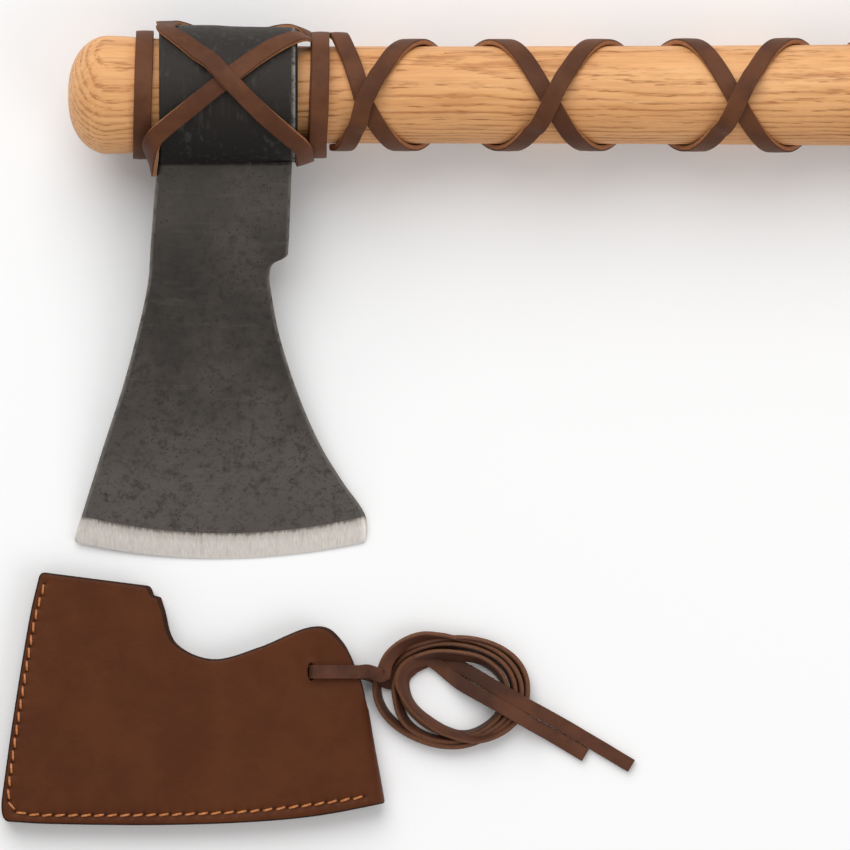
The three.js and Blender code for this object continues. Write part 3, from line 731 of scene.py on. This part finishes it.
def make_head():
    head = mesh_object("forged_head", *eye_mesh(), [SCALE, STEEL])
    head = joined(head, mesh_object("blade", *blade_mesh(), [SCALE, STEEL]))
    points = np.array([v.co for v in head.data.vertices]) / MM
    left, right, bevel_line = across_blade(points)
    above_bevel = smoothstep(points[:, 1] - bevel_line, 0, 4)
    in_bore = np.hypot(points[:, 1], points[:, 2]) < BORE_REACH
    moved = []
    for p, keep, bore in zip(points, above_bevel, in_bore):
        v = Vector(p)
        dents = noise.noise(Vector((v.x * 0.085, v.y * 0.085, v.z * 0.05 + SEED)))
        pits = noise.noise(Vector((v.x * 0.45, v.y * 0.45 + SEED, v.z * 0.45)))
        depth = (DENT_DEPTH * dents + PIT_DEPTH * pits) * keep * (0 if bore else 1)
        way = Vector((0, v.y, v.z)).normalized() if v.y > BLADE_TOP - 1 else Vector(
            (0, 0, math.copysign(1, v.z)))
        moved.append((v + way * depth) * MM)
    head.data.vertices.foreach_set("co", np.array(moved, np.float32).ravel())
    to_side = np.minimum(points[:, 0] - left, right - points[:, 0])
    on_blade = smoothstep(-points[:, 1], 25, 30)
    worn = (1 - smoothstep(to_side, 0.2, 1.0)) * on_blade * 0.5
    to_rim = EYE_RIGHT - points[:, 0]
    # Painted highlight: a thin bright band round the eye's right rim, kept in the worn attribute with
    # the blade's worn edges.
    rim = 0.8 * (1 - smoothstep(np.abs(to_rim - 0.2), 0.08, 0.3)) * (1 - on_blade)
    float_attribute(head, "worn", np.maximum(worn, rim))
    # Painted shade: the eye's right end face next to the handle is marked very dark as the gap.
    float_attribute(head, "gap", (1 - smoothstep(to_rim, -0.5, -0.15)) * (1 - on_blade))
    float_attribute(head, "ground", bevel_line - points[:, 1])
    centres = np.array([p.center for p in head.data.polygons]) / MM
    on_bevel = centres[:, 1] < across_blade(centres)[2]
    head.data.polygons.foreach_set("material_index", on_bevel.astype(np.int32))
    head.data.polygons.foreach_set("use_smooth", [True] * len(head.data.polygons))
    head.data.set_sharp_from_angle(angle=math.radians(38))
    piece(head, AXE, "axe", "forged_steel", "axe_head")


make_head()

# ---- lashing and wrap ----

GAP = 0.4
LIFT = LACE_THICKNESS + GAP
WRAP_FIRST_CROSSING = 47.6
WRAP_PITCH = 65.3
WRAP_CROSSINGS = 5
WRAP_START_STEEPNESS = 0.5
WRAP_START_TURN = -0.27
WRAP_HUMP_FLAT = 6.2
WRAP_HUMP_RAMP = 6
WRAP_LEAN = math.radians(8)
RING_SLANT = 0.6
RING_TURNS = 1.08
NECK_TURNS = 1.96
WRAP_START_RISE = 2.4
WRAP_END_SHORT = 0.085
# Stops of the two strands over the eye, on the front cheek, from the handle's back round to its
# belly: (x, radius of the inner face, degrees round from the top of the cheek, degrees of lean).
CROSSING_X = -0.3
EYE_HUMP_FLAT = 4.2
EYE_HUMP_RAMP = 6
# How much thinner the strands get over the handle's back, and within how many degrees of it
PINCH = 0.65
PINCH_SPREAD = 28
# Where the under strand's ends meet, hidden beneath the crossing on the back cheek
UNDER_JOINT = 0.662
OVER_STOPS = [
    (-20.2, 24.6, 80.3, 0), (-21.6, 24.9, 66, 0), (-17.5, 25.0, 51, 0), (-9, 24.8, 31.7, 0),
    (CROSSING_X, 24.6, 12, 0), (10.8, 24.4, -12.4, 0), (22, 24.1, -37, 0), (26.3, 23.3, -52, 8),
    (27, 22.4, -74, 16), (26.6, 22.2, -99.7, 19),
]
UNDER_STOPS = [
    (30.2, 19.6, 80.3, 8), (29.2, 20.2, 70, 12), (25.6, 22.9, 60, 8), (20.9, 24.0, 50, 0),
    (10.3, 24.4, 31, 0), (CROSSING_X, 24.6, 12, 0), (-10.3, 24.8, -6, 0), (-20.3, 25.1, -24, 0),
    (-25.5, 25.1, -38, -24), (-25.9, 24.9, -55, -52), (-25.0, 25.1, -76, -78),
    (-24.5, 25.4, -99.7, -90),
]


def on_handle(x, radius, turn, lean=0.0):
    """A point over the handle and the way out there; turn 0 is the upper cheek's side, and lean
    tips the way out towards the grip."""
    radial = np.array((0, math.sin(turn), math.cos(turn)))
    along = np.array((1.0, 0, 0))
    return radial * radius + along * x, radial * math.cos(lean) + along * math.sin(lean)


def hump(distance, flat, ramp):
    return 1 - float(smoothstep(abs(distance), flat, flat + ramp))


def lace(name, route, nodes, squeeze=None):
    obj = strap(name, [at for at, _ in route], [out for _, out in route], LACE_WIDTH,
                LACE_THICKNESS, LACE, wobble=0.16, squeeze=squeeze)
    piece(obj, AXE, "axe", "lace_leather", *nodes)


def cheek_route(stops, is_over, back):
    """Stations across one cheek; the back one mirrors the front through the blade's plane."""
    route = []
    for x, radius, degrees, lean in spline(stops, 110):
        lift = LIFT * hump(x - CROSSING_X, EYE_HUMP_FLAT, EYE_HUMP_RAMP) if is_over else 0
        turn = math.radians(degrees) + ROLL
        route.append((x, radius + lift, math.pi - turn if back else turn, math.radians(lean)))
    return route


def eye_strand(name, stops, is_over, joint, nodes):
    """A strand right round the eye, whose two ends meet at the joint's share of the loop."""
    front, back = cheek_route(stops, is_over, False), cheek_route(stops, is_over, True)
    loop = front[::-1] + back[1:]
    start = int(joint * len(loop))
    loop = loop[start:] + loop[1:start + 1]
    squeeze = [1 - PINCH * math.exp(-((math.degrees(station[2]) - 90) / PINCH_SPREAD) ** 2)
               for station in loop]
    lace(name, [on_handle(*station) for station in loop], nodes, squeeze)


def make_eye_lashing():
    eye_strand("lashing_over", OVER_STOPS, True, 0, ["lash_front_over", "lash_back_over"])
    eye_strand("lashing_under", UNDER_STOPS, False, UNDER_JOINT,
               ["lash_front_under", "lash_back_under"])


def ring_route(x, radius, turns, start, drift=0.0):
    """Lace wound round the handle; each turn after the first lies on the one below."""
    route = []
    for t in np.linspace(0, turns, int(90 * turns)):
        layer = sum(float(smoothstep(t, k - 0.06, k + 0.04)) for k in range(1, 3))
        turn = start - 2 * math.pi * t
        wander = 0.2 * math.sin(5 * t + x) + RING_SLANT * math.sin(turn - ROLL)
        route.append(on_handle(x + wander + drift * t, radius + GAP + layer * LIFT, turn))
    return route


def wrap_strand(hand):
    turns = WRAP_CROSSINGS - 0.5
    crossing_length = 2 * math.pi * (NECK_RADIUS + LIFT)
    route = []
    for turn in np.linspace(WRAP_START_TURN, turns - WRAP_END_SHORT, 64 * WRAP_CROSSINGS):
        pace = WRAP_START_STEEPNESS if turn < 0 else 1
        x = WRAP_FIRST_CROSSING + WRAP_PITCH * pace * turn
        to_crossing = (turn - round(2 * turn) / 2) * crossing_length
        lift = (LIFT + 0.15) * hump(to_crossing, WRAP_HUMP_FLAT, WRAP_HUMP_RAMP)
        if hand < 0:
            lift = WRAP_START_RISE * (1 - float(smoothstep(turn - WRAP_START_TURN, 0, 0.1)))
        radius = max(handle_radius(x), NECK_RADIUS + 0.1) + GAP + lift
        route.append(on_handle(x, radius, hand * turn * 2 * math.pi - WRAP_LEAN + ROLL))
    return route


def make_lashing():
    lace("lashing_knob_ring", ring_route(KNOB_RING_X, KNOB_BASE_RADIUS, RING_TURNS, -2.6),
         ["lash_ring_knob"])
    lace("lashing_neck_rings", ring_route(NECK_RING_X - 0.4, NECK_RADIUS, NECK_TURNS, -2.4, 0.4),
         ["lash_ring_neck_inner", "lash_ring_neck_outer"])
    make_eye_lashing()
    lace("wrap_rising", wrap_strand(1), ["wrap_strand_over"])
    lace("wrap_falling", wrap_strand(-1), ["wrap_strand_under"])
    last = WRAP_FIRST_CROSSING + WRAP_PITCH * (WRAP_CROSSINGS - 0.5) + 1
    lace("wrap_last_ring", ring_route(last, handle_radius(last), RING_TURNS, -2.2), ["wrap_end_ring"])


make_lashing()

# ---- sheath ----

FOLD_RADIUS = SHEATH_THICKNESS / 2
FOLD_TOP = np.array((49.2, -214.0))
FOLD_BOTTOM = np.array((55.3, -248.2))
STITCH_PITCH = 4.6
WELT_START_X = 48
WELT_END_Y = -168.9
THROAT_INSET = 0.9
MESH_SPACING = 1.15
SEAM = [
    (-64.1, -171), (-67.9, -185.5), (-73.4, -219), (-76.1, -238), (-76.9, -245.5), (-75.9, -249.8),
    (-72.1, -251.8), (-61.6, -252.4), (-27, -252.3), (5.1, -251.2), (30.4, -248.6), (48, -245.9),
]


def leather_outline():
    """One layer's outline from the fold's foot round by the seams and the mouth to its head."""
    foot = spline([FOLD_BOTTOM, (31.2, -252.7), (5.3, -255), (-27, -255.9), (-61.6, -255.5),
                   (-76.6, -254.7)], 130)
    side = spline([(-79.2, -246.7), (-75.3, -218.8), (-69.7, -184.5), (-66.2, -169)], 72)
    step = arc((-28, -171.9), (-26.5, -172.1), (-25.9, -175.3))
    mouth = spline([(-23.3, -176), (-21.9, -180.6), (-17.9, -192.2), (-4.9, -197.7),
                    (11.9, -193.3), (31.1, -186.2), (40.2, -191.3), (46.9, -205)], 120)
    line = [*foot, *arc(foot[-1], (-79.9, -254.5), side[0])[1:-1], *side,
            *arc(side[-1], (-65.7, -167.1), (-64, -167.3))[1:], *step, *mouth, FOLD_TOP]
    return evenly(np.array(line), 520)


ALONG = (FOLD_TOP - FOLD_BOTTOM) / np.linalg.norm(FOLD_TOP - FOLD_BOTTOM)
INWARD = np.array((-ALONG[1], ALONG[0]))
FOLD_AXIS = FOLD_BOTTOM + INWARD * FOLD_RADIUS
FOLD_LENGTH = float(np.linalg.norm(FOLD_TOP - FOLD_BOTTOM))
BEND_RADIUS = FOLD_RADIUS - SHEATH_LAYER / 2
BEND = math.pi * BEND_RADIUS


def to_pattern(points):
    """(distance along the fold, distance in from the fold's axis) of points on the front."""
    offset = np.asarray(points) - FOLD_AXIS
    return np.column_stack([offset @ ALONG, offset @ INWARD])


def pattern_outline():
    """The flat cut of the leather: the front, the strip of the fold and the mirrored back."""
    front = to_pattern(leather_outline())
    on_bend = front[:, 1] < 0
    front[on_bend, 1] *= BEND / 2 / FOLD_RADIUS
    inside = front[1:-1]
    edge_in = -BEND / 2
    inside = inside[inside[:, 1] > edge_in]
    back = np.column_stack([inside[:, 0], -BEND - inside[:, 1]])[::-1]
    foot = [(front[0][0], d) for d in np.linspace(-BEND - inside[0][1], inside[0][1], 14)[1:-1]]
    notch = [(FOLD_LENGTH, -BEND / 2)]
    return np.vstack([inside, notch, back, foot])


def inside_polygon(points, polygon):
    """Which points lie inside the polygon, by crossings of a ray."""
    x, y = points[:, 0], points[:, 1]
    result = np.zeros(len(points), bool)
    for (x0, y0), (x1, y1) in zip(polygon, np.roll(polygon, -1, axis=0)):
        crosses = (y0 > y) != (y1 > y)
        with np.errstate(divide="ignore", invalid="ignore"):
            reach = (x1 - x0) * (y - y0) / (y1 - y0) + x0
        result ^= crosses & (x < reach)
    return result


def nearest_on(points, line):
    """Distance from each point to the line's samples, and the length along it there."""
    along = np.r_[0, np.cumsum(np.linalg.norm(np.diff(line, axis=0), axis=1))]
    best, where = np.full(len(points), 1e9), np.zeros(len(points))
    for q, s in zip(line, along):
        gap = np.hypot(points[:, 0] - q[0], points[:, 1] - q[1])
        closer = gap < best
        best[closer], where[closer] = gap[closer], s
    return best, where


def triangulated(outline, spacing, hole, rows):
    """Points and triangles filling the outline round a hole, with rows of points close inside
    its edge and along the given rows."""
    ways = unit(np.roll(outline, -1, axis=0) - np.roll(outline, 1, axis=0))
    inner_rows = []
    for depth in (0.35, 0.9):
        for sign in (1, -1):
            row = outline + sign * depth * left_of(ways)
            gap, _ = nearest_on(row, outline)
            inner_rows.append(row[inside_polygon(row, outline) & (gap > 0.9 * depth)])
    low, high = outline.min(axis=0), outline.max(axis=0)
    grid = []
    for row, b in enumerate(np.arange(low[1], high[1], spacing * 0.87)):
        shift = (row % 2) * spacing / 2
        grid += [(a + shift, b) for a in np.arange(low[0], high[0], spacing)]
    grid = np.array(grid)
    grid = grid[inside_polygon(grid, outline)]
    for line, clear in ((outline, 1.3), *((row, 0.7) for row in rows)):
        gap, _ = nearest_on(grid, line)
        grid = grid[gap > clear]
    points = np.vstack([outline, hole, *inner_rows, *rows, grid])
    n, m = len(outline), len(hole)
    edges = [(k, (k + 1) % n) for k in range(n)] + [(n + k, n + (k + 1) % m) for k in range(m)]
    filled = delaunay_2d_cdt([Vector(p) for p in points], edges, [], 1, 1e-4)
    points = np.array([tuple(p) for p in filled[0]])
    centres = np.array([points[list(f)].mean(axis=0) for f in filled[2]])
    keep = inside_polygon(centres, outline) & ~inside_polygon(centres, hole)
    return points, [tuple(f) for f, k in zip(filled[2], keep) if k]


def folded(pattern, offset):
    """Pattern points on the folded sheet, raised by offset along its outward side."""
    a, d = pattern[:, 0], pattern[:, 1]
    theta = np.clip(-d / BEND_RADIUS, 0, math.pi)
    radius = BEND_RADIUS + offset
    to_right = radius * np.sin(theta)
    z = FOLD_RADIUS + radius * np.cos(theta)
    inward = np.where(d > 0, d, np.where(d < -BEND, -BEND - d, 0)) - to_right
    open_ear = smoothstep(a, FOLD_LENGTH - 1.5, FOLD_LENGTH + 6)
    front = d > -BEND / 2
    flat_inward = np.where(front, d, -BEND - d)
    flat_inward = np.where(flat_inward < 0, flat_inward * FOLD_RADIUS / (BEND / 2), flat_inward)
    flat_z = FOLD_RADIUS + np.where(front, 1, -1) * radius
    inward = inward * (1 - open_ear) + flat_inward * open_ear
    z = z * (1 - open_ear) + flat_z * open_ear
    flat_xy = FOLD_AXIS + np.outer(a, ALONG) + np.outer(inward, INWARD)
    return np.column_stack([flat_xy, z])


def thick_sheet(faces, top, bottom):
    """Vertices and faces of a sheet between its top and bottom points."""
    n = len(top)
    sides = dict.fromkeys((f[k], f[(k + 1) % 3]) for f in faces for k in range(3))
    walls = [(b, a, n + a, n + b) for a, b in sides if (b, a) not in sides]
    under = [tuple(n + k for k in reversed(f)) for f in faces]
    return np.vstack([top, bottom]), faces + under + walls


def seam_line():
    return spline(SEAM, 900)


STITCHES = round(length_of(seam_line()) / STITCH_PITCH)


def seam_rows():
    """Rows of points along the seam on the flat cut's two sides, close enough for the dimples."""
    line = evenly(seam_line(), 800)
    across = left_of(unit(np.gradient(line, axis=0)))
    rows = [to_pattern(line + across * reach) for reach in (-1.2, -0.6, 0, 0.6, 1.2)]
    return rows + [np.column_stack([row[:, 0], -BEND - row[:, 1]]) for row in rows]


def seam_relief(flat):
    """How far the leather dips by the stitches, and the painted shade in each stitch hole."""
    gap, along = nearest_on(flat, seam_line())
    pitch = length_of(seam_line()) / STITCHES
    to_hole = np.abs((along / pitch + 0.5) % 1 - 0.5) * pitch
    groove = -0.22 * np.exp(-(gap / 1.0) ** 2)
    hole = -0.8 * np.exp(-(gap ** 2 + to_hole ** 2) / 0.7 ** 2)
    pucker = -0.16 * np.exp(-(to_hole / 1.2) ** 2) * np.exp(-(gap / 2.6) ** 2)
    # Painted shade in the dimple of each stitch hole
    shade = 0.95 * np.exp(-(gap ** 2 + to_hole ** 2) / 1.0 ** 2)
    return groove + hole + pucker, shade


def slit_hole():
    """The cut in the front layer that the lace comes out of, drawn open by the lace."""
    centre_at = np.array((SLIT_X, TIE_Y))
    half_width, half_length = 1.25, TIE_WIDTH / 2 + 0.7
    ring = [centre_at + (half_width * math.cos(t), half_length * math.sin(t))
            for t in np.linspace(0, 2 * math.pi, 25)[:-1]]
    return to_pattern(np.array(ring))


def make_sheath():
    outline = pattern_outline()
    hole = slit_hole()
    pattern, faces = triangulated(outline, MESH_SPACING, hole, seam_rows())
    front = pattern[:, 1] > -BEND / 2
    mirrored = pattern.copy()
    mirrored[~front, 1] = -BEND - pattern[~front, 1]
    flat = FOLD_AXIS + np.outer(mirrored[:, 0], ALONG) + np.outer(mirrored[:, 1], INWARD)
    edge_gap, _ = nearest_on(pattern, outline)
    hole_gap, _ = nearest_on(pattern, hole)
    slit_lip = np.where(front, 0.45 * np.exp(-(hole_gap / 1.6) ** 2)
                        - 0.5 * np.exp(-(hole_gap / 5.0) ** 2), 0)
    waves = np.array([noise.noise(Vector((x * 0.045, y * 0.045, SEED + (0 if f else 5))))
                      for (x, y), f in zip(flat, front)])
    grain = np.array([noise.noise(Vector((x * 0.35, y * 0.35, SEED + (9 if f else 3))))
                      for (x, y), f in zip(flat, front)])
    dimples, shade = seam_relief(flat)
    relief = dimples + slit_lip + 0.22 * waves + 0.05 * grain
    rounding = -0.55 * (1 - np.clip(edge_gap / 1.0, 0, 1)) ** 2
    top = folded(pattern, SHEATH_LAYER / 2 + relief + rounding)
    bottom = folded(pattern, -SHEATH_LAYER / 2 - 0.4 * rounding)
    inset = THROAT_INSET * front * (smoothstep(flat[:, 1], -198, -188)
                                    * smoothstep(flat[:, 0], -38, -27))
    top[:, 0] -= inset
    bottom[:, 0] -= inset
    obj = mesh_object("sheath_cover", *thick_sheet(faces, top, bottom), [SHEATH])
    # The darker cut edges are the leather's own; the stitch holes add painted shade.
    burnish_and_hole_shade = np.maximum(1 - smoothstep(edge_gap, 0.3, 1.4), shade)
    float_attribute(obj, "rim", np.r_[burnish_and_hole_shade, np.full(len(pattern), 0.8)])
    piece(obj, LAID, "sheath", "sheath_leather", "sheath_leather")


make_sheath()


def welt_edge():
    """The welt's outer edge, from near the fold's foot to the mouth, and the ways in from it."""
    outer = leather_outline()
    keep = outer[int(np.argmax(outer[:, 0] < WELT_START_X)):]
    end = int(np.argmax((keep[:, 1] > WELT_END_Y) & (keep[:, 0] < -60)))
    outer = evenly(keep[:end], 300)
    return outer, -left_of(unit(np.gradient(outer, axis=0)))


def make_welt():
    outer, inward = welt_edge()
    low, high = SHEATH_LAYER + 0.1, SHEATH_THICKNESS - SHEATH_LAYER - 0.1
    outline = [(0.5, low), (0.25, low + 0.4), (0.15, (low + high) / 2), (0.25, high - 0.4),
               (0.5, high), (3, high), (5.5, high), (6.5, high), (6.5, low), (5.5, low), (3, low)]
    vertices = []
    for k, (p, way) in enumerate(zip(outer, inward)):
        fray = 0.22 * noise.noise(Vector((k * 0.13, SEED, 0)))
        for depth, z in outline:
            at = p + way * (depth + fray)
            vertices.append((at[0], at[1], z))
    size = len(outline)
    faces = ring_faces(len(outer), size, False)
    last = (len(outer) - 1) * size
    faces += [tuple(range(size)), tuple(last + k for k in reversed(range(size)))]
    obj = mesh_object("sheath_welt_strip", vertices, faces, [WELT])
    float_attribute(obj, "rim", np.tile([1.0] * 5 + [0.4] * 6, len(outer)))
    piece(obj, LAID, "sheath", "sheath_leather", "sheath_welt")


def stitch_mesh(start, stop, surface, out_z, phase):
    """One stitch: a two-ply thread that comes up out of one hole and goes down the next."""
    along = np.array(stop) - np.array(start)
    length = np.linalg.norm(along)
    along /= length
    across = np.array((-along[1], along[0]))
    slant = 0.3
    vertices, around, rows = [], 10, 13
    for i in range(rows):
        t = i / (rows - 1)
        arch = math.sin(math.pi * t)
        at = np.array(start) + along * length * (0.11 + 0.78 * t) + across * slant * (2 * t - 1)
        z = surface + out_z * (-0.95 + 1.1 * arch ** 0.5)
        for k in range(around):
            turn = 2 * math.pi * k / around
            ply = 0.44 * (0.84 + 0.16 * abs(math.cos(turn + phase + 5.2 * t)))
            side = ply * math.cos(turn) * (0.82 + 0.18 * arch)
            vertices.append((at[0] + across[0] * side, at[1] + across[1] * side,
                             z + 0.8 * ply * math.sin(turn)))
    return vertices, ring_faces(rows, around)


def make_stitches(name, node, surface, out_z):
    line = seam_line()
    holes = evenly(line, STITCHES + 1)
    vertices, faces = [], []
    for k in range(STITCHES):
        more, more_faces = stitch_mesh(holes[k], holes[k + 1], surface, out_z, 1.7 * k)
        base = len(vertices)
        vertices += more
        faces += [tuple(base + i for i in face) for face in more_faces]
    piece(mesh_object(name, vertices, faces, [THREAD]), LAID, "sheath", "thread", node)


make_welt()
make_stitches("stitches_front", "sheath_thread_front", SHEATH_THICKNESS, 1)
make_stitches("stitches_back", "sheath_thread_back", 0.45, -1)

# ---- floor and light ----


def make_floor():
    graph = Graph("pale_floor", Specular_IOR_Level=0.15)
    tone = graph.mix(graph.noise(2), (0.95, 0.95, 0.95), (0.975, 0.975, 0.975))
    material = graph.finish(tone, 0.9, graph.bump(graph.noise(300), 0.00001, 0.2))
    reach, height = 30000, -0.05
    corners = [(reach * x, reach * y, height) for x, y in ((-1, -1), (1, -1), (1, 1), (-1, 1))]
    mesh_object("floor", corners, [(0, 1, 2, 3)], [material])


def area_light(name, at, size, power):
    data = bpy.data.lights.new(name, "AREA")
    data.shape = "DISK"
    data.size = size
    data.energy = power
    lamp = bpy.data.objects.new(name, data)
    lamp.location = at
    lamp.rotation_euler = (-Vector(at)).to_track_quat("-Z", "Y").to_euler()
    bpy.context.scene.collection.objects.link(lamp)


def make_light():
    world = bpy.data.worlds.new("studio")
    world.use_nodes = True
    background = world.node_tree.nodes["Background"]
    background.inputs["Color"].default_value = (1, 1, 1, 1)
    background.inputs["Strength"].default_value = 0.52
    bpy.context.scene.world = world
    area_light("key", (-0.6, 1.6, 1.8), size=2.6, power=42)
    area_light("fill", (1.3, -0.9, 1.6), size=1.6, power=9)
    bpy.context.scene.view_settings.view_transform = "Standard"


make_floor()
make_light()

bpy.context.view_layer.update()
